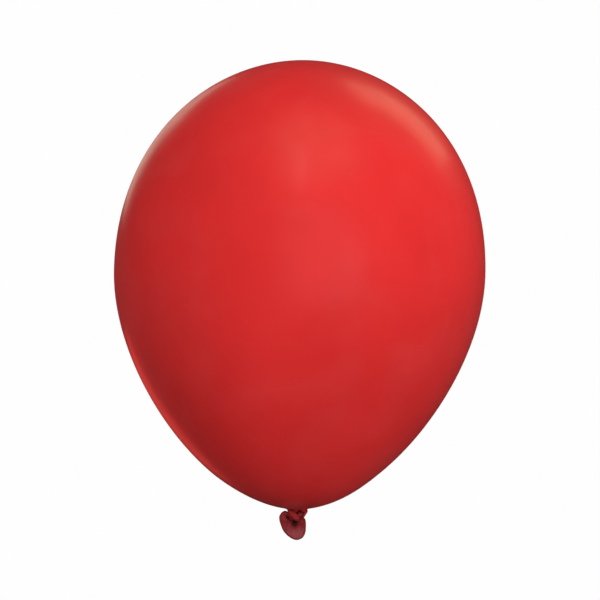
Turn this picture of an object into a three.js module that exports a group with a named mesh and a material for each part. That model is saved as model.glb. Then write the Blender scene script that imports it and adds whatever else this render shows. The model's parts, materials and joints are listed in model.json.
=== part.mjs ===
// Latex party balloon, 28 cm across, blown up and tied. Millimetres, +Z up, the front faces -Y.
// The origin is the middle of the neck, level with the underside of the blown-up part.
// A real balloon is one dipped rubber skin. Each stretch of that skin that has its own form, or that bends
// away from its neighbour, is a solid of its own here, from the crown down to the rolled lip.
import * as THREE from "three";
import { ParametricGeometry } from "three/addons/geometries/ParametricGeometry.js";

// The blown-up part, as a half outline: crown to widest ring, then widest ring to neck.
const widestRadius = 140;
const widestHeight = 179;
const crownHeight = 338.8;
const crownRoundness = 68; // how far the flat of the crown reaches outwards
const upperFullness = 103; // how far the widest ring's upright wall reaches up
const lowerFullness = 80; // how far it reaches down
const undersideRoundness = 64; // how far the flat of the underside reaches outwards
const film = 0.05; // thickness of the stretched skin
const roundSkin = 40; // steps round the skin

// The neck and the overhand knot tied in it.
const neckRadius = 4; // inside the ring where the skin turns down into the neck
const neckTurn = 1.2; // radius of that turn
const turnStart = 0.2; // height at which the skin begins to turn
const neckEnd = 2.3; // radius at the neck's far end, inside the knot
const gap = 0.35; // room between neighbouring pieces
const strandRadius = 1.7; // the neck, pulled out into a strand
const tuckRadius = 1.615; // the last of it, pulled through the turn
const neckPleats = 8;
const pleatDepth = 0.12; // share of the radius

// The tail: the end of the neck beyond the knot, which flares into a mouth that faces the front.
const throat = new THREE.Vector3(-1.2, 0.8, -8.3); // where the tail bends
const throatRadius = 2;
const throatTop = 0.65; // share of that radius at the throat's upper end
const throatPleats = 6;
const throatTilt = THREE.MathUtils.degToRad(37); // how far the throat leans from straight down to the front
const ahead = new THREE.Vector3(0, -Math.sin(throatTilt), -Math.cos(throatTilt)); // along the throat
const over = new THREE.Vector3(0, -Math.cos(throatTilt), Math.sin(throatTilt)); // square to it, in front
const sleeveWall = 0.6;
const seat = throatRadius + 2 * gap + sleeveWall / 2; // how far the sleeve's root keeps from the bend
const rootAhead = 0.45 * seat; // the root is a ring, this far down the throat
const rootRadius = 0.9 * seat;
const flareStart = 0.5; // share of the way to the lip that the sleeve runs straight on before it flares
const shortestRun = 1; // and the least of it
const lipRadius = 0.8;
const lipCentreline = new THREE.CatmullRomCurve3(
  [
    new THREE.Vector3(7, -5.9, -11.3),
    new THREE.Vector3(5.6, -5.1, -6.4),
    new THREE.Vector3(1, -6, -8),
    new THREE.Vector3(-4.2, -5.4, -6.6),
    new THREE.Vector3(-8.9, -2.7, -2.7),
    new THREE.Vector3(-12.1, -4.1, -7.6),
    new THREE.Vector3(-9.2, -6.8, -15.3),
    new THREE.Vector3(-5, -8.5, -19.8),
    new THREE.Vector3(0.4, -9.6, -22.6),
    new THREE.Vector3(4.9, -8.7, -20.1),
    new THREE.Vector3(6.8, -7, -15.7),
  ],
  true,
);
const mouthMiddle = new THREE.Vector3(-1.6, 0, -10.5);
const roundMouth = 40; // steps round the lip

const skinRed = new THREE.MeshStandardMaterial({ color: "#d42a2c", roughness: 0.32, metalness: 0 });
const knotRed = new THREE.MeshStandardMaterial({ color: "#9c1a20", roughness: 0.42, metalness: 0 });
const tailRed = new THREE.MeshStandardMaterial({ color: "#87232a", roughness: 0.5, metalness: 0 });

const point = (radius, height) => new THREE.Vector2(radius, height);

function piece(name, geometry, material) {
  const mesh = new THREE.Mesh(geometry, material);
  mesh.name = name;
  return mesh;
}

// The outline moved towards the inside of the balloon, and kept on the axis at the crown.
function inset(outline, distance) {
  return outline.map((here, i) => {
    const before = outline[Math.max(i - 1, 0)];
    const after = outline[Math.min(i + 1, outline.length - 1)];
    const along = after.clone().sub(before).normalize();
    const inner = here.clone().add(point(along.y, -along.x).multiplyScalar(distance));
    return here.x === 0 ? point(0, here.y - distance) : inner;
  });
}

// The thin skin, open at the neck.
function envelope() {
  const upper = new THREE.CubicBezierCurve(
    point(0, crownHeight),
    point(crownRoundness, crownHeight),
    point(widestRadius, widestHeight + upperFullness),
    point(widestRadius, widestHeight),
  );
  const lower = new THREE.CubicBezierCurve(
    point(widestRadius, widestHeight),
    point(widestRadius, widestHeight - lowerFullness),
    point(undersideRoundness, 0),
    point(0, 0),
  );
  const turn = new THREE.QuadraticBezierCurve(
    point(neckRadius + neckTurn, turnStart),
    point(neckRadius, 0),
    point(neckRadius, -neckTurn),
  );
  const underside = lower.getSpacedPoints(12).slice(1);
  const outer = [
    ...upper.getSpacedPoints(10),
    ...underside.filter((p) => p.x > neckRadius + 2 * neckTurn),
    ...turn.getPoints(3),
  ];
  const skin = [...outer, ...inset(outer, film).reverse()];
  return piece("envelope", new THREE.LatheGeometry(skin.reverse(), roundSkin).rotateX(Math.PI / 2), skinRed);
}

// A strand of rubber with round ends. The radius depends on the share of the way along and the turn round it.
function strand(path, radiusAt, sides, steps) {
  const frames = path.computeFrenetFrames(steps);
  const place = (around, along, target) => {
    const step = Math.round(along * steps);
    const turn = 2 * Math.PI * around;
    const roundEnd = Math.sqrt(Math.max(0, 1 - (2 * along - 1) ** 6));
    const radius = roundEnd * radiusAt(along, turn);
    target.copy(path.getPointAt(THREE.MathUtils.clamp(along, 0, 1)));
    target.addScaledVector(frames.normals[step], radius * Math.cos(turn));
    target.addScaledVector(frames.binormals[step], radius * Math.sin(turn));
  };
  return new ParametricGeometry(place, sides, steps);
}

// The neck, gathered into pleats where it leaves the skin, and leaning to the front as it enters the knot.
function neckGather() {
  const path = new THREE.CatmullRomCurve3([
    new THREE.Vector3(0, 0, 2.2),
    new THREE.Vector3(0, 0, 0),
    new THREE.Vector3(0, 0, -1.7),
    new THREE.Vector3(-1.3, -1.2, -3.2),
    new THREE.Vector3(-0.7, -2.5, -5.1),
  ]);
  const top = neckRadius - film - gap;
  const radiusAt = (along, turn) => {
    const waist = THREE.MathUtils.lerp(top, neckEnd, THREE.MathUtils.smoothstep(along, 0.35, 0.75));
    return waist * (1 - pleatDepth * (0.5 - 0.5 * Math.cos(neckPleats * turn)));
  };
  return piece("neck_gather", strand(path, radiusAt, 3 * neckPleats, 12), knotRed);
}

// The turn of the knot that passes behind the neck and shows at its right as a small ear.
function knotLoop() {
  const path = new THREE.CatmullRomCurve3([
    new THREE.Vector3(-4.4, 1.8, -3.9),
    new THREE.Vector3(-1.6, 4.7, -3.6),
    new THREE.Vector3(2.6, 4.9, -3),
    new THREE.Vector3(6.1, 2.8, -2.5),
    new THREE.Vector3(7.3, -0.2, -2.3),
    new THREE.Vector3(6.8, -2, -3.2),
  ]);
  return piece("knot_loop", strand(path, () => strandRadius, 12, 20), knotRed);
}

// The strand that comes forward through that turn and leads into the tail.
function knotTuck() {
  const path = new THREE.LineCurve3(new THREE.Vector3(4.4, -0.9, -3.3), new THREE.Vector3(4.2, -4, -3.4));
  return piece("knot_tuck", strand(path, () => tuckRadius, 12, 9), knotRed);
}

// The gathered throat, from under the knot into the root of the tail.
function tailThroat() {
  const path = new THREE.QuadraticBezierCurve3(
    throat.clone().add(new THREE.Vector3(0, -0.4, throatRadius + 0.6)),
    throat,
    throat.clone().addScaledVector(ahead, throatRadius + 0.4),
  );
  const radiusAt = (along, turn) => {
    const opened = THREE.MathUtils.smoothstep(along, 0, 0.45);
    const width = THREE.MathUtils.lerp(throatTop, 1, opened) * throatRadius;
    return width * (1 - pleatDepth * (0.5 - 0.5 * Math.cos(throatPleats * turn)));
  };
  return piece("tail_throat", strand(path, radiusAt, 3 * throatPleats, 10), tailRed);
}

// A point on the tail's skin, by the share of the way round the mouth and from throat to lip. Seen from the
// front it leaves the ring round the throat straight on, and then flares out to the lip.
function tailSkin(around, share) {
  const lip = lipCentreline.getPoint((around + 1) % 1);
  const alongLip = lipCentreline.getTangent((around + 1) % 1);
  const turn = Math.atan2(lip.z - mouthMiddle.z, lip.x - mouthMiddle.x);
  const root = throat.clone().addScaledVector(ahead, rootAhead);
  root.x += rootRadius * Math.cos(turn);
  root.addScaledVector(over, rootRadius * Math.sin(turn));
  const reach = Math.max(shortestRun, flareStart * lip.clone().sub(root).dot(ahead));
  const bend = root.clone().addScaledVector(ahead, reach);
  const inwards = bend.clone().sub(lip).normalize();
  const square = Math.sqrt(1 - inwards.dot(alongLip) ** 2);
  const edge = lip.clone().addScaledVector(inwards, (lipRadius + gap) / square);
  return new THREE.QuadraticBezierCurve3(root, bend, edge).getPoint(share);
}

// The flared sleeve: a thin scoop, open at the mouth and where the throat goes in.
function tailSleeve() {
  const step = 0.002;
  const place = (around, along, target) => {
    const share = 1 - Math.abs(1 - 2 * along);
    const side = along < 0.5 ? 1 : -1;
    const here = tailSkin(around, share);
    const outwards = tailSkin(around, share + step).sub(tailSkin(around, share - step));
    const round = tailSkin(around + step, share).sub(tailSkin(around - step, share));
    const normal = round.cross(outwards).normalize();
    const edge = along === 0 || along === 0.5 || along === 1;
    target.copy(here).addScaledVector(normal, edge ? 0 : (side * sleeveWall) / 2);
  };
  return piece("tail_sleeve", new ParametricGeometry(place, roundMouth, 12), tailRed);
}

// The rolled lip round the mouth.
function lipBead() {
  const place = (around, about, target) => {
    const here = lipCentreline.getPoint(around % 1);
    const along = lipCentreline.getTangent(around % 1);
    const outwards = along.clone().cross(new THREE.Vector3(0, -1, 0)).normalize();
    const forwards = outwards.clone().cross(along);
    target.copy(here);
    target.addScaledVector(outwards, lipRadius * Math.cos(2 * Math.PI * about));
    target.addScaledVector(forwards, lipRadius * Math.sin(2 * Math.PI * about));
  };
  return piece("lip_bead", new ParametricGeometry(place, roundMouth, 8), tailRed);
}

const balloon = new THREE.Group();
balloon.add(envelope(), neckGather(), knotLoop(), knotTuck(), tailThroat(), tailSleeve(), lipBead());

export default balloon;
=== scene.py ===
import json
import math

import bmesh
import bpy
import numpy as np
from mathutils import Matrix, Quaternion, Vector, noise
from mathutils.bvhtree import BVHTree


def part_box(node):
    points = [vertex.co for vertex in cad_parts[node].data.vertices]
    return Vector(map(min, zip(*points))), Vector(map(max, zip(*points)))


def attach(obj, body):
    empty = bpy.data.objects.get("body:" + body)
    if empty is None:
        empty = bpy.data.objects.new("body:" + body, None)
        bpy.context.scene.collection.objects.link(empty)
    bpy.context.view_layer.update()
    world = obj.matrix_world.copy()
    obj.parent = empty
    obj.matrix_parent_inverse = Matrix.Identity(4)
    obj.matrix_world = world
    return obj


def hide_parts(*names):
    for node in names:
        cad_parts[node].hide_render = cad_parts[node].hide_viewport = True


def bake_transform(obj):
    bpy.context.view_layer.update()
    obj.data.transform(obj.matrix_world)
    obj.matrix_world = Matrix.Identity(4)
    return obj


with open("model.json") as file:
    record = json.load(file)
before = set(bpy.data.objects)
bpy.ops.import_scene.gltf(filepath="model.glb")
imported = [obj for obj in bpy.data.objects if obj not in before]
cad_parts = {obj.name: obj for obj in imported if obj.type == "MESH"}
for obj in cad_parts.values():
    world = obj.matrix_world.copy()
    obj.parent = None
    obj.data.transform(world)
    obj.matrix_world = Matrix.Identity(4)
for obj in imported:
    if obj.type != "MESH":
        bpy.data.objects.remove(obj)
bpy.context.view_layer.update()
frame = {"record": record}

MM = 0.001

# The blown-up part: a half outline of two cubic curves, crown to widest ring and widest ring to neck.
_, ENVELOPE_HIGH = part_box("envelope")
WIDEST = ENVELOPE_HIGH[0]
CROWN = ENVELOPE_HIGH[2]
WIDEST_HEIGHT = 179 * MM
CROWN_ROUNDNESS = 68 * MM
UPPER_FULLNESS = 103 * MM
LOWER_FULLNESS = 80 * MM
UNDERSIDE_ROUNDNESS = 64 * MM
LEAN = 0.0108  # the skin is a little uneven: for every metre it rises, it shifts this far to the right
UPRIGHT_HEIGHT = 185 * MM  # the height at which it stands straight above the neck
LEAN_START = 30 * MM  # the lean fades out from here down to the neck
ROUND_SKIN = 288  # steps round the skin
CROWN_SPOT = (3 * MM, 13 * MM)  # the darker spot at the crown: full inside one radius, gone at the other
CROWN_SPOT_DEPTH = 0.8
THICK_SHADED_NECK = (5 * MM, 60 * MM)  # the same for the darker rubber round the neck: partly thicker rubber, partly painted shade on the underside

# The neck: the skin turns down into it, wide and shallow, and the knot's dark arch opens in its right half.
NECK_START = 9.5 * MM  # radius at which the skin begins to turn down
NECK_RADIUS = 6.4 * MM
NECK_CENTRE = np.array([0.8, -0.6]) * MM
NECK_WIDTH = 1.1  # share of the radius from side to side
NECK_DEPTH = 0.7  # and from front to back
NECK_PLEATS = 17
NECK_PLEAT_DEPTH = 0.3 * MM
NECK_PLEATS_END = 2.4 * NECK_START  # radius at which they have faded
ARCH_MIDDLE = 2.9 * MM
ARCH_HALF = 2.2 * MM
ARCH_RISE = 0.85  # share of its depth below the balloon by which the skin is raised there

# The strands of the knot: the same folds and creases in each of them.
STRAND_STEPS = 120  # along a strand
ROUND_STRAND = 72  # round it
FOLD_DEPTH = 0.13  # share of the radius
CREASE_DEPTH = 0.1  # share of the radius
CREASE_RATE = 95  # radians of ripple from end to end
CREASED_BEND = 2.2 * MM  # creases are full where a strand bends round this radius
LUMP_SIZE = 2.4 * MM
LUMP_HEIGHT = 0.16 * MM

# The tail beyond the knot.
JOINTS = frame["record"]["behaviour"]["joints"]
THROAT = np.array(next(joint["pos_m"] for joint in JOINTS if joint["name"] == "tail_fold"))
THROAT_TILT = math.radians(37)
AHEAD = np.array([0, -math.sin(THROAT_TILT), -math.cos(THROAT_TILT)])
OVER = np.array([0, -math.cos(THROAT_TILT), math.sin(THROAT_TILT)])
THROAT_HALF_WIDTH = 1.3 * MM
SHORTEST_RUN = 0.8 * MM  # the least that the skin runs straight on from the throat before it flares
TAIL_WALL = 0.36 * MM
GATHERS = 13
FINE_GATHERS = 29

# The sizes of the tail's folds, in millimetres. The pit lies between the throat and the left of the lip.
GATHER_DEPTH = 0.6
FINE_GATHER_DEPTH = 0.16
PIT_MIDDLE = (-6.0, -6.3)
PIT_DEPTH = 2.4
PIT_LENGTH = 1.9
PIT_WIDTH = 0.85

# The rolled lip and the groove along the edge of the roll. Turns are in radians.
LIP_RADIUS = 0.6 * MM
LIP_PINCH = 0.4  # share of the radius that it loses under the knot
PINCH_TURN = 1.6  # how far round the mouth that is
PINCH_HALF = 0.75
GROOVE_DEPTH = 0.13  # share of the radius
GROOVE_TURN = 2.5  # how far round the roll the groove lies
GROOVE_HALF = 0.28
MOUTH_MIDDLE = np.array([-1.6, 0, -10.5]) * MM  # what turns round the mouth are measured about
LIP_POINTS = np.array(  # the middle of the roll, once round the mouth
    [
        (7.0, -5.9, -11.3),
        (6.5, -4.5, -7.3),
        (5.0, -1.6, -6.8),
        (1.4, 0.6, -7.2),
        (-2.6, 0.6, -5.9),
        (-5.8, -1.6, -2.9),
        (-8.3, -2.8, -1.4),
        (-11.2, -3.4, -3.4),
        (-12.0, -4.1, -7.6),
        (-9.2, -6.8, -15.0),
        (-5.0, -8.4, -19.5),
        (0.3, -9.3, -21.9),
        (4.6, -8.8, -20.4),
        (6.7, -7.4, -16.4),
    ]
) * MM

# Crevices.
NEAR_KNOT = 30 * MM  # how far from the origin points are tested
CREVICE_TOP = 2 * MM  # and how high
CREVICE_REACH = 6 * MM  # rubber further away than this hides nothing
CLEAR_OF_SURFACE = 0.12 * MM
CREVICE_RAYS = 16

# Colours.
BLOOM = (0.72, 0.2, 0.2, 1)
SPECKS = (0.42, 0.2, 0.2, 1)
FLOOR_GREY = (0.86, 0.86, 0.86, 1)
SURROUND_WHITE = (0.99, 0.99, 0.99, 1)

# The lights, each a rectangle with a width and a height, and their tints.
LAMP_AIM = (0, 0, 0.17)
BROAD = (1.1, 1.1)
HIGHLIGHT = (1, 0.8, 0.5)
RIM = (1, 0.9, 0.72)
GLOW = (1, 0.07, 0.05)

# The floor and the camera.
FLOOR_RADIUS = 0.9
FLOOR_HEIGHT = -0.3
CAMERA_RIGHT = 0.5 * MM
CAMERA_DISTANCE = 2.6
CAMERA_HEIGHT = 0.158
CAMERA_ROLL = math.radians(-0.875)
SEEN_WIDTH = 0.4527  # what the picture takes in from side to side, at the balloon


def smooth(value, low, high):
    """0 below low, 1 above high, and a smooth step between them."""
    t = np.clip((value - low) / (high - low), 0, 1)
    return t * t * (3 - 2 * t)


def cubic(a, b, c, d, t):
    """Points on a cubic Bezier curve."""
    t = np.asarray(t, float)[:, None]
    a, b, c, d = (np.asarray(p, float) for p in (a, b, c, d))
    return (1 - t) ** 3 * a + 3 * (1 - t) ** 2 * t * b + 3 * (1 - t) * t**2 * c + t**3 * d


def through(points, count, closed=False):
    """A smooth curve through the points, as count points."""
    points = np.asarray(points, float)
    spans = len(points) if closed else len(points) - 1
    place = np.linspace(0, spans, count, endpoint=not closed)
    span = np.minimum(place.astype(int), spans - 1)
    t = (place - span)[:, None]

    def at(i):
        return points[i % len(points)] if closed else points[np.clip(i, 0, len(points) - 1)]

    before, a, b, after = at(span - 1), at(span), at(span + 1), at(span + 2)
    return 0.5 * (
        2 * a
        + (b - before) * t
        + (2 * before - 5 * a + 4 * b - after) * t**2
        + (3 * a - before - 3 * b + after) * t**3
    )


def solid(name, rings, closed=False):
    """A closed mesh from rings of points, joined end to end or closed to a point at both ends."""
    count, around = rings.shape[:2]
    points = rings.reshape(-1, 3)
    faces = []
    for i in range(count if closed else count - 1):
        here, there = i * around, (i + 1) % count * around
        for j in range(around):
            k = (j + 1) % around
            faces.append((here + j, here + k, there + k, there + j))
    if not closed:
        points = np.vstack([points, rings[0].mean(0), rings[-1].mean(0)])
        first, last, top = len(points) - 2, len(points) - 1, (count - 1) * around
        for j in range(around):
            k = (j + 1) % around
            faces.append((first, k, j))
            faces.append((last, top + j, top + k))
    mesh = bpy.data.meshes.new(name)
    mesh.from_pydata(points.tolist(), [], faces)
    face_outwards(mesh)
    mesh.shade_smooth()
    piece = bpy.data.objects.new(name, mesh)
    bpy.context.scene.collection.objects.link(piece)
    return piece


def face_outwards(mesh):
    work = bmesh.new()
    work.from_mesh(mesh)
    bmesh.ops.recalc_face_normals(work, faces=work.faces)
    work.to_mesh(mesh)
    work.free()


def unevenness(points, size, seed):
    """A smooth random number from -1 to 1 at each point, with bumps of that size."""
    shift = Vector((seed * 7.3, seed * 3.1, seed * 5.7))
    return np.array([noise.noise(Vector(p) / size + shift) for p in points])


def store(piece, name, values):
    attribute = piece.data.attributes.new(name, "FLOAT", "POINT")
    attribute.data.foreach_set("value", np.asarray(values, np.float32))


# The envelope.


def envelope_outline():
    """Radius and height down the skin, from just off the crown to the end of the neck."""
    upper = cubic(
        (0, CROWN),
        (CROWN_ROUNDNESS, CROWN),
        (WIDEST, WIDEST_HEIGHT + UPPER_FULLNESS),
        (WIDEST, WIDEST_HEIGHT),
        np.linspace(0, 1, 120) ** 1.15,
    )[1:]
    lower = cubic(
        (WIDEST, WIDEST_HEIGHT),
        (WIDEST, WIDEST_HEIGHT - LOWER_FULLNESS),
        (UNDERSIDE_ROUNDNESS, 0),
        (0, 0),
        np.linspace(0, 1, 170),
    )[1:]
    lower = lower[lower[:, 0] > NECK_START]
    start = lower[-1]
    neck = cubic(
        start,
        (8.3 * MM, 0.5 * MM),
        (7 * MM, 0.2 * MM),
        (NECK_RADIUS, -1.2 * MM),
        np.linspace(0, 1, 46),
    )[1:]
    inside = cubic(
        neck[-1],
        (6 * MM, -2.4 * MM),
        (4.5 * MM, -2.9 * MM),
        (1.5 * MM, -3.1 * MM),
        np.linspace(0, 1, 16),
    )[1:]
    return np.vstack([upper, lower, neck, inside])


def pleats(turn, count, seed):
    """Soft folds of uneven width round an axis, 0 at the ridges and 1 in the valleys."""
    uneven = turn + 0.22 * np.sin(2 * turn + seed) + 0.1 * np.sin(5 * turn + 2 * seed)
    return (0.5 - 0.5 * np.cos(count * uneven)) ** 2


def envelope_skin():
    """The blown-up skin, with pleats where it is gathered into the neck."""
    outline = envelope_outline()
    turn = np.linspace(0, 2 * math.pi, ROUND_SKIN, endpoint=False)
    radius, height = outline[:, 0], outline[:, 1]
    slope = np.gradient(outline, axis=0)
    slope /= np.linalg.norm(slope, axis=1)[:, None]
    below = height < WIDEST_HEIGHT
    gathered = np.where(below, 1 - smooth(radius, NECK_RADIUS, NECK_PLEATS_END), 0)
    drawn = np.where(below, 1 - smooth(radius, NECK_RADIUS, NECK_START), 0)[:, None]
    fold = pleats(turn, NECK_PLEATS, 0.7)[None, :] * (NECK_PLEAT_DEPTH * gathered**2)[:, None]
    across = radius[:, None] + slope[:, 1][:, None] * fold
    rings = np.empty((len(outline), len(turn), 3))
    rings[..., 0] = across * np.cos(turn) * (1 + drawn * (NECK_WIDTH - 1)) + drawn * NECK_CENTRE[0]
    rings[..., 1] = across * np.sin(turn) * (1 + drawn * (NECK_DEPTH - 1)) + drawn * NECK_CENTRE[1]
    rings[..., 2] = height[:, None] - slope[:, 0][:, None] * fold
    rings[..., 0] += (LEAN * (height - UPRIGHT_HEIGHT) * smooth(height, 0, LEAN_START))[:, None]
    arch = ARCH_RISE * np.exp(-(((rings[..., 0] - ARCH_MIDDLE) / ARCH_HALF) ** 2))
    rings[..., 2] = np.where(rings[..., 2] < 0, rings[..., 2] * (1 - arch), rings[..., 2])
    piece = solid("envelope_skin", rings)
    points = np.array([v.co for v in piece.data.vertices])
    reach = np.hypot(points[:, 0], points[:, 1])
    crown_spot = (1 - smooth(reach, *CROWN_SPOT)) * (points[:, 2] > WIDEST_HEIGHT)
    # Darker towards the neck: partly the thicker rubber there, and partly painted shade on the balloon's
    # underside.
    neck = (1 - smooth(reach, *THICK_SHADED_NECK)) * (points[:, 2] < WIDEST_HEIGHT)
    store(piece, "thickness_and_painted_light", np.maximum(CROWN_SPOT_DEPTH * crown_spot, neck))
    return piece


# The knot and the throat.


def frames_along(path):
    """A tangent and two directions square to it at each point, carried along without twisting."""
    tangents = np.gradient(path, axis=0)
    tangents /= np.linalg.norm(tangents, axis=1)[:, None]
    side = np.cross(tangents[0], (0, 1, 0))
    sides = []
    for tangent in tangents:
        side = side - tangent * side.dot(tangent)
        side = side / np.linalg.norm(side)
        sides.append(side)
    sides = np.array(sides)
    return tangents, sides, np.cross(tangents, sides)


def strand(name, points, radii, folds, seed, twist=1.0, depth=0.5, puckered=0.0):
    """A gathered strand of rubber, folded lengthwise, with creases across it where it bends. Its ends are
    blunt, and the last one can be puckered, which draws its middle in. All sizes are in millimetres."""
    path = through(np.array(points) * MM, STRAND_STEPS)
    along = np.linspace(0, 1, STRAND_STEPS)
    radius = np.interp(along, np.linspace(0, 1, len(radii)), radii) * MM
    blunt = np.sqrt(np.clip(1 - np.abs(2 * along - 1) ** 14, 0.0004, 1))
    radius = radius * blunt
    tangents, sides, overs = frames_along(path)
    bend = np.gradient(tangents, axis=0) / np.linalg.norm(np.gradient(path, axis=0), axis=1)[:, None]
    turn = np.linspace(0, 2 * math.pi, ROUND_STRAND, endpoint=False)
    outward = sides[:, None] * np.cos(turn)[None, :, None] + overs[:, None] * np.sin(turn)[None, :, None]
    inside_bend = np.clip(np.einsum("ijk,ik->ij", outward, bend) * CREASED_BEND, 0, 1)
    lengthwise = pleats(turn[None, :] + twist * along[:, None], folds, seed)
    crosswise = (0.5 + 0.5 * np.sin(CREASE_RATE * along + seed))[:, None] * inside_bend
    width = radius[:, None] * (1 - FOLD_DEPTH * lengthwise - CREASE_DEPTH * crosswise)
    drawn_in = puckered * MM * (1 - blunt) * (along > 0.5)
    rings = (path - tangents * drawn_in[:, None])[:, None, :] + outward * width[..., None]
    lumps = unevenness(rings.reshape(-1, 3), LUMP_SIZE, seed).reshape(STRAND_STEPS, ROUND_STRAND)
    rings += outward * (LUMP_HEIGHT * lumps)[..., None]
    piece = solid(name, rings)
    # The share stored here is partly the gathered rubber's thickness and, for a strand lying in shadow,
    # painted shade.
    store(piece, "thickness_and_painted_light", np.full(len(piece.data.vertices), depth))
    return piece


def knot_band():
    """The neck itself, which crosses the front of the knot from the upper left to the lower right."""
    route = [
        (-3.3, -1.6, 1.2),
        (-3.3, -2.1, -0.8),
        (-2.6, -3.0, -2.8),
        (-0.9, -3.6, -4.9),
        (0.9, -3.0, -6.5),
        (2.3, -0.9, -7.0),
    ]
    radii = [3.0, 3.4, 3.1, 2.6, 2.2, 1.8]
    return strand("knot_band", route, radii, folds=7, seed=1.3, twist=1.6)


def knot_turn():
    """From the foot of the band up the right side, behind the neck and down the left into the throat."""
    route = [
        (2.4, -1.6, -7.0),
        (4.6, -0.4, -5.6),
        (6.3, -0.9, -3.2),
        (7.35, -0.7, -1.0),
        (6.4, 1.4, -0.8),
        (3.0, 4.0, -1.4),
        (-2.0, 4.4, -2.4),
        (-4.6, 2.4, -4.0),
        (-3.8, 0.9, -5.8),
        (-1.4, 0.8, -7.4),
    ]
    radii = [1.8, 1.7, 1.45, 1.5, 1.8, 2.1, 2.1, 2.1, 2.0, 2.0]
    return strand("knot_turn", route, radii, folds=6, seed=2.1, twist=3.0)


def knot_lump():
    """The end that is pulled through the turn, and shows at the front as a rounded lump."""
    route = [(4.7, 1.3, -3.1), (3.9, -1.4, -3.1), (3.0, -3.0, -3.4), (1.2, -3.0, -4.5)]
    radii = [1.6, 1.8, 1.95, 1.8]
    # The full share gives the lump the deepest knot colour as painted shade, for the shadow under the arch.
    return strand("knot_lump", route, radii, folds=5, seed=3.4, depth=1.0)


def throat_gather():
    """The rubber inside the knot and the gathered throat below it, into the root of the tail."""
    route = [
        (0.6, 1.3, -2.2),
        (-0.1, 1.2, -4.2),
        (THROAT + (0, -0.1 * MM, 2.6 * MM)) / MM,
        (THROAT - AHEAD * 1.1 * MM) / MM,
        (THROAT + AHEAD * 0.4 * MM) / MM,
    ]
    radii = [2.3, 2.5, 2.3, 2.1, 1.9]
    return strand("throat_gather", route, radii, folds=9, seed=4.2, puckered=2.4)


# The tail.


def tail_sheet(around, share):
    """Points on the middle of the tail's skin, for shares of the way from throat to lip, and their turn round
    the mouth. The skin leaves the throat straight on, and then flares out to the lip."""
    lips = through(LIP_POINTS, around, closed=True)
    turn = np.arctan2(lips[:, 2] - MOUTH_MIDDLE[2], lips[:, 0] - MOUTH_MIDDLE[0])
    roots = THROAT + THROAT_HALF_WIDTH * np.outer(np.sin(turn), OVER)
    roots[:, 0] += THROAT_HALF_WIDTH * np.cos(turn)
    reach = np.maximum(SHORTEST_RUN, 0.5 * (lips - roots) @ AHEAD)
    bends = roots + AHEAD * reach[:, None]
    s = share[None, :, None]
    sheet = (1 - s) ** 2 * roots[:, None] + 2 * s * (1 - s) * bends[:, None] + s**2 * lips[:, None]
    return sheet, turn


def dent(x, z, middle, slant, depth, width, length):
    """A soft slanting dent, seen from the front, with its half width and half length, in millimetres."""
    right, up = x - middle[0], z - middle[1]
    return depth * np.exp(-(((right + slant * up) / width) ** 2) - (up / length) ** 2)


def tail_folds(sheet, turn, share):
    """How far the skin stands behind its smooth form: gathers that spread from the throat, a deep pit and a
    crease at the left, and a ridge at the right."""
    left = np.clip(-np.cos(turn), 0, 1)[:, None]
    faded = smooth(share[None, :], 0.1, 0.62 + 0.36 * left)
    gathers = pleats(turn, GATHERS, 2.6)[:, None] * GATHER_DEPTH * (1 - faded)
    gathers *= smooth(share, 0.0, 0.1)[None, :]
    fine_depth = FINE_GATHER_DEPTH * (1 - smooth(share, 0.3, 0.8))
    fine = pleats(turn, FINE_GATHERS, 1.1)[:, None] * fine_depth[None, :]
    x, z = sheet[..., 0] / MM, sheet[..., 2] / MM
    right, up = x - PIT_MIDDLE[0], z - PIT_MIDDLE[1]
    along = (right - up) / math.sqrt(2)
    across = (right + up) / math.sqrt(2)
    pit = PIT_DEPTH * np.exp(-((along / PIT_LENGTH) ** 2) - (across / PIT_WIDTH) ** 2)
    crease = dent(x, z, middle=(-6.6, -13.6), slant=-0.45, depth=0.9, width=0.9, length=3.2)
    ridge = dent(x, z, middle=(4.0, -9.6), slant=0.45, depth=-0.9, width=1.4, length=2.6)
    return (gathers + fine + pit + crease + ridge) * MM


def tail_flare():
    """The skin that spreads from the throat to the lip, a thin closed sheet with folds in it."""
    around, steps = 260, 64
    share = np.linspace(0, 1, steps)
    sheet, turn = tail_sheet(around, share)
    along = np.gradient(sheet, axis=1)
    wrapped = np.concatenate([sheet[-1:], sheet, sheet[:1]])
    round_mouth = (wrapped[2:] - wrapped[:-2]) / 2
    normal = np.cross(round_mouth, along)
    normal /= np.linalg.norm(normal, axis=2)[..., None]
    sheet = sheet + normal * tail_folds(sheet, turn, share)[..., None]
    half = normal * (TAIL_WALL / 2)
    rings = np.concatenate([sheet + half, (sheet - half)[:, ::-1]], axis=1)
    piece = solid("tail_flare", rings, closed=True)
    # Painted light and shade: the tail is paler and greyish towards the lip, a painted sheen where it is lit,
    # and deeper towards the knot, painted shade.
    store(piece, "thickness_and_painted_light", 1 - smooth(-rings[..., 2].ravel(), 10 * MM, 19 * MM))
    return piece


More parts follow.
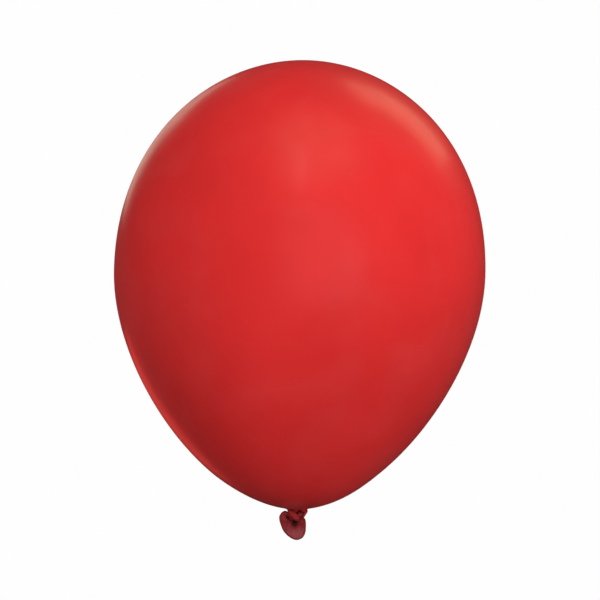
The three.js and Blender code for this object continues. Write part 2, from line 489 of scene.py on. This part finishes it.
def lip_roll():
    """The rolled lip, pinched thin where it runs under the knot, with the edge of the roll as a groove."""
    around, sides = 300, 28
    centres = through(LIP_POINTS, around, closed=True)
    turn = np.arctan2(centres[:, 2] - MOUTH_MIDDLE[2], centres[:, 0] - MOUTH_MIDDLE[0])
    tangents = np.roll(centres, -1, 0) - np.roll(centres, 1, 0)
    tangents /= np.linalg.norm(tangents, axis=1)[:, None]
    outwards = np.cross(tangents, (0, -1, 0))
    outwards /= np.linalg.norm(outwards, axis=1)[:, None]
    forwards = np.cross(outwards, tangents)
    about = np.linspace(0, 2 * math.pi, sides, endpoint=False)
    groove = 1 - GROOVE_DEPTH * np.exp(-(((about - GROOVE_TURN) / GROOVE_HALF) ** 2))
    under_knot = np.exp(-(((turn - PINCH_TURN) / PINCH_HALF) ** 2))
    uneven = 0.05 * np.sin(7 * turn + 1) + 0.03 * np.sin(17 * turn)
    width = LIP_RADIUS * (1 - LIP_PINCH * under_knot + uneven)
    radius = width[:, None] * groove[None, :]
    ring = outwards[:, None] * np.cos(about)[None, :, None] + forwards[:, None] * np.sin(about)[None, :, None]
    piece = solid("lip_roll", centres[:, None] + ring * radius[..., None], closed=True)
    store(piece, "thickness_and_painted_light", np.full(around * sides, 1.0))
    return piece


# Crevices: how much rubber hides each point, for the painted shade that darkens the rubber in the crevices.


def scattered_directions(count):
    """Directions spread evenly over a half sphere about +Z."""
    i = np.arange(count) + 0.5
    up = 1 - i / count
    turn = i * math.pi * (3 - math.sqrt(5))
    across = np.sqrt(1 - up**2)
    return np.stack([across * np.cos(turn), across * np.sin(turn), up], 1)


def store_crevices(pieces):
    """Stores the share of directions that rubber blocks, at each point near the knot."""
    corners, faces = [], []
    for piece in pieces:
        first = len(corners)
        corners.extend(v.co for v in piece.data.vertices)
        faces.extend([first + i for i in p.vertices] for p in piece.data.polygons)
    tree = BVHTree.FromPolygons(corners, faces)
    directions = [Vector(d) for d in scattered_directions(CREVICE_RAYS)]
    for piece in pieces:
        crevice_shade = np.zeros(len(piece.data.vertices))
        for i, vertex in enumerate(piece.data.vertices):
            if vertex.co.length > NEAR_KNOT or vertex.co.z > CREVICE_TOP:
                continue
            turned = vertex.normal.to_track_quat("Z", "Y")
            start = vertex.co + vertex.normal * CLEAR_OF_SURFACE
            hits = [tree.ray_cast(start, turned @ d, CREVICE_REACH)[0] for d in directions]
            crevice_shade[i] = np.mean([hit is not None for hit in hits])
        store(piece, "painted_crevice_shade", crevice_shade)


# Latex.


def node(tree, kind, **inputs):
    """A new node, with its inputs set by name."""
    made = tree.nodes.new(kind)
    for name, value in inputs.items():
        made.inputs[name.replace("_", " ")].default_value = value
    return made


def mixed(tree, factor, first, second):
    """A colour mix of two sockets or colours."""
    mix = tree.nodes.new("ShaderNodeMix")
    mix.data_type = "RGBA"
    for socket, value in ((mix.inputs[0], factor), (mix.inputs[6], first), (mix.inputs[7], second)):
        if isinstance(value, bpy.types.NodeSocket):
            tree.links.new(value, socket)
        else:
            socket.default_value = value
    return mix.outputs[2]


def scaled(tree, value, low, high, start=0.0, end=1.0):
    """A socket whose run from start to end is mapped to run from low to high."""
    stretch = node(tree, "ShaderNodeMapRange", From_Min=start, From_Max=end, To_Min=low, To_Max=high)
    tree.links.new(value, stretch.inputs["Value"])
    return stretch.outputs["Result"]


def noise_at(tree, scale, detail=3.0, swirl=0.0):
    """Noise fixed to the piece, with about this many spots to the metre."""
    place = tree.nodes.new("ShaderNodeTexCoord")
    texture = node(tree, "ShaderNodeTexNoise", Scale=scale, Detail=detail, Distortion=swirl)
    tree.links.new(place.outputs["Object"], texture.inputs["Vector"])
    return texture.outputs["Fac"]


def attribute(tree, name):
    read = tree.nodes.new("ShaderNodeAttribute")
    read.attribute_name = name
    return read.outputs["Fac"]


def bump(tree, height, strength, distance, after=None):
    made = node(tree, "ShaderNodeBump", Strength=strength, Distance=distance)
    tree.links.new(height, made.inputs["Height"])
    if after is not None:
        tree.links.new(after, made.inputs["Normal"])
    return made.outputs["Normal"]


def latex(name, stretched_and_lit, thick_and_shaded, crevice_shade, roughness, gloss, powder, wrinkles, mottling, bloom):
    """Latex whose colour runs from a paler colour, for rubber drawn thin and for painted light, to a deeper
    one, for thicker rubber and for painted shade, and to a near black as painted shade in the crevices. It
    has a fine uneven surface, faint mottling and a trace of powder."""
    material = bpy.data.materials.new(name)
    material.use_nodes = True
    tree = material.node_tree
    shader = tree.nodes["Principled BSDF"]
    clouds = scaled(tree, noise_at(tree, mottling, detail=2), -0.1, 0.45)
    haze = scaled(tree, noise_at(tree, 0.7 * mottling, swirl=1.2), 0, bloom, 0.45, 0.75)
    specks = scaled(tree, noise_at(tree, 1500, detail=2), -0.5 * powder, powder)
    # The stored share is partly the rubber's thickness and partly painted light and shade.
    colour = mixed(tree, attribute(tree, "thickness_and_painted_light"), stretched_and_lit, thick_and_shaded)
    colour = mixed(tree, clouds, colour, thick_and_shaded)
    colour = mixed(tree, haze, colour, BLOOM)
    colour = mixed(tree, specks, colour, SPECKS)
    # Painted shade: the colour darkens towards a near black where rubber hides the point.
    crevice_shading = scaled(tree, attribute(tree, "painted_crevice_shade"), 0, 1, 0.28, 0.75)
    colour = mixed(tree, crevice_shading, colour, crevice_shade)
    tree.links.new(colour, shader.inputs["Base Color"])
    dull = scaled(tree, noise_at(tree, 90), roughness - 0.05, roughness + 0.07)
    tree.links.new(dull, shader.inputs["Roughness"])
    shader.inputs["Coat Weight"].default_value = gloss
    shader.inputs["Coat Roughness"].default_value = 0.2
    shader.inputs["Sheen Weight"].default_value = powder
    shader.inputs["Sheen Roughness"].default_value = 0.45
    shader.inputs["Subsurface Weight"].default_value = 0.12
    shader.inputs["Subsurface Scale"].default_value = 1.5 * MM
    shader.inputs["Subsurface Radius"].default_value = (1, 0.2, 0.12)
    soft = bump(tree, noise_at(tree, 420), 0.1, 0.12 * MM)
    fine = bump(tree, noise_at(tree, 2600, detail=2), wrinkles, 0.06 * MM, after=soft)
    tree.links.new(fine, shader.inputs["Normal"])
    return material


def dress(piece, material, slot, *nodes):
    """Gives a piece its latex, and hides the CAD nodes it stands for."""
    piece.data.materials.append(material)
    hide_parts(*nodes)


# The set.


def plain(name, colour, roughness):
    material = bpy.data.materials.new(name)
    material.use_nodes = True
    shader = material.node_tree.nodes["Principled BSDF"]
    shader.inputs["Base Color"].default_value = colour
    shader.inputs["Roughness"].default_value = roughness
    return material


def floor():
    """A pale disc that the camera sees and that lights and shades nothing."""
    place = (0, 0, FLOOR_HEIGHT)
    bpy.ops.mesh.primitive_circle_add(vertices=96, radius=FLOOR_RADIUS, fill_type="NGON", location=place)
    disc = bpy.context.object
    disc.name = "floor"
    disc.data.materials.append(plain("floor_paint", FLOOR_GREY, 0.9))
    disc.visible_diffuse = False
    disc.visible_glossy = False
    disc.visible_shadow = False


def backdrop():
    """A white surround that the camera sees and that lights nothing."""
    world = bpy.data.worlds.new("surround")
    bpy.context.scene.world = world
    world.use_nodes = True
    world.node_tree.nodes["Background"].inputs["Color"].default_value = SURROUND_WHITE
    world.cycles_visibility.diffuse = False
    world.cycles_visibility.glossy = False
    world.cycles_visibility.transmission = False
    world.cycles_visibility.scatter = False


def lamp(name, place, size, power, mirrored, colour=(1, 1, 1), roll=0):
    """A soft panel aimed at the balloon. One that isn't mirrored lights it and leaves no reflection."""
    data = bpy.data.lights.new(name, "AREA")
    data.shape = "RECTANGLE"
    data.size, data.size_y = size
    data.energy = power
    data.color = colour
    data.cycles.use_multiple_importance_sampling = mirrored
    light = bpy.data.objects.new(name, data)
    light.location = place
    light.rotation_mode = "QUATERNION"
    turned = (Vector(place) - Vector(LAMP_AIM)).to_track_quat("Z", "Y")
    light.rotation_quaternion = turned @ Quaternion((0, 0, 1), math.radians(roll))
    light.visible_glossy = mirrored
    light.visible_camera = False
    bpy.context.scene.collection.objects.link(light)


def lamps():
    """Broad lights that shade the balloon, and weak panels for its soft reflections and lit edges."""
    lamp("front", (0, -1.8, 0.2), BROAD, 27, False)
    lamp("high_right", (1.05, -0.15, 1.6), BROAD, 18.5, False)
    lamp("left_rear", (-1.41, 0.82, 0.93), BROAD, 18, False)
    lamp("low_right", (1.6, 0.4, -0.3), BROAD, 13, False)
    lamp("low_left", (-0.7, 1.45, -0.6), BROAD, 15, False)
    lamp("below", (0.1, 0.9, -1.3), BROAD, 4, False)
    lamp("overhead", (0.2, -0.9, 1.9), (1.5, 1.5), 3.5, True, HIGHLIGHT)
    lamp("upper_right", (0.95, 1, 1.45), (0.7, 1.2), 3, True, HIGHLIGHT, -20)
    lamp("left_edge", (-0.68, 1.62, 0.76), (0.6, 0.75), 1.3, True, RIM)
    lamp("lower_left", (-0.78, 1.62, -0.48), (0.5, 0.8), 1.6, True, GLOW)
    lamp("strip", (-0.02, -1.35, 1.67), (0.14, 0.9), 0.5, True)
    lamp("window", (1, -1.6, 0.2), (0.45, 0.7), 0.5, True)
    lamp("umbrella", (0.3, -1.9, 0.35), (1.5, 1.7), 2.2, True)


def camera():
    """Level, in front and far off, and rolled, so that the balloon leans a little to the right."""
    data = bpy.data.cameras.new("camera")
    data.lens = data.sensor_width * CAMERA_DISTANCE / SEEN_WIDTH
    view = bpy.data.objects.new("camera", data)
    view.location = (CAMERA_RIGHT, -CAMERA_DISTANCE, CAMERA_HEIGHT)
    view.rotation_euler = (math.radians(90), CAMERA_ROLL, 0)
    bpy.context.scene.collection.objects.link(view)
    bpy.context.scene.camera = view


bpy.context.scene.view_settings.view_transform = "Standard"
camera()
lamps()
backdrop()
floor()

skin = envelope_skin()
band = knot_band()
loop = knot_turn()
lump = knot_lump()
gather = throat_gather()
flare = tail_flare()
lip = lip_roll()
store_crevices([skin, band, loop, lump, gather, flare, lip])

# In each latex, the darkest colour is painted shade for the crevices.
SKIN = latex(
    "skin_latex",
    stretched_and_lit=(0.8, 0.032, 0.032, 1),
    thick_and_shaded=(0.59, 0.014, 0.016, 1),
    crevice_shade=(0.1, 0.004, 0.004, 1),
    roughness=0.36, gloss=0.35, powder=0.02, wrinkles=0.06, mottling=22, bloom=0.05,
)
KNOT = latex(
    "knot_latex",
    stretched_and_lit=(0.52, 0.02, 0.022, 1),
    thick_and_shaded=(0.24, 0.014, 0.016, 1),
    crevice_shade=(0.02, 0.002, 0.002, 1),
    roughness=0.4, gloss=0.2, powder=0.05, wrinkles=0.15, mottling=380, bloom=0.06,
)
TAIL = latex(
    "tail_latex",
    # The paler colour is painted light: the greyish sheen on the tail's lit lower part.
    stretched_and_lit=(0.35, 0.085, 0.095, 1),
    thick_and_shaded=(0.24, 0.014, 0.018, 1),
    crevice_shade=(0.012, 0.002, 0.001, 1),
    roughness=0.5, gloss=0.1, powder=0.08, wrinkles=0.2, mottling=420, bloom=0.09,
)
LIP = latex(
    "lip_latex",
    stretched_and_lit=(0.28, 0.034, 0.038, 1),
    thick_and_shaded=(0.22, 0.022, 0.026, 1),
    crevice_shade=(0.03, 0.003, 0.003, 1),
    roughness=0.42, gloss=0.2, powder=0.05, wrinkles=0.15, mottling=380, bloom=0.06,
)

dress(skin, SKIN, "envelope_latex", "envelope")
dress(band, KNOT, "knot_latex", "neck_gather")
dress(loop, KNOT, "knot_latex", "knot_loop")
dress(lump, KNOT, "knot_latex", "knot_tuck")
dress(gather, KNOT, "tail_latex", "tail_throat")
dress(flare, TAIL, "tail_latex", "tail_sleeve")
dress(lip, LIP, "lip_latex", "lip_bead")

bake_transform(skin)
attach(band, "knot")
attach(loop, "knot")
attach(lump, "knot")
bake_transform(gather)
for piece in (flare, lip):
    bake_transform(piece)
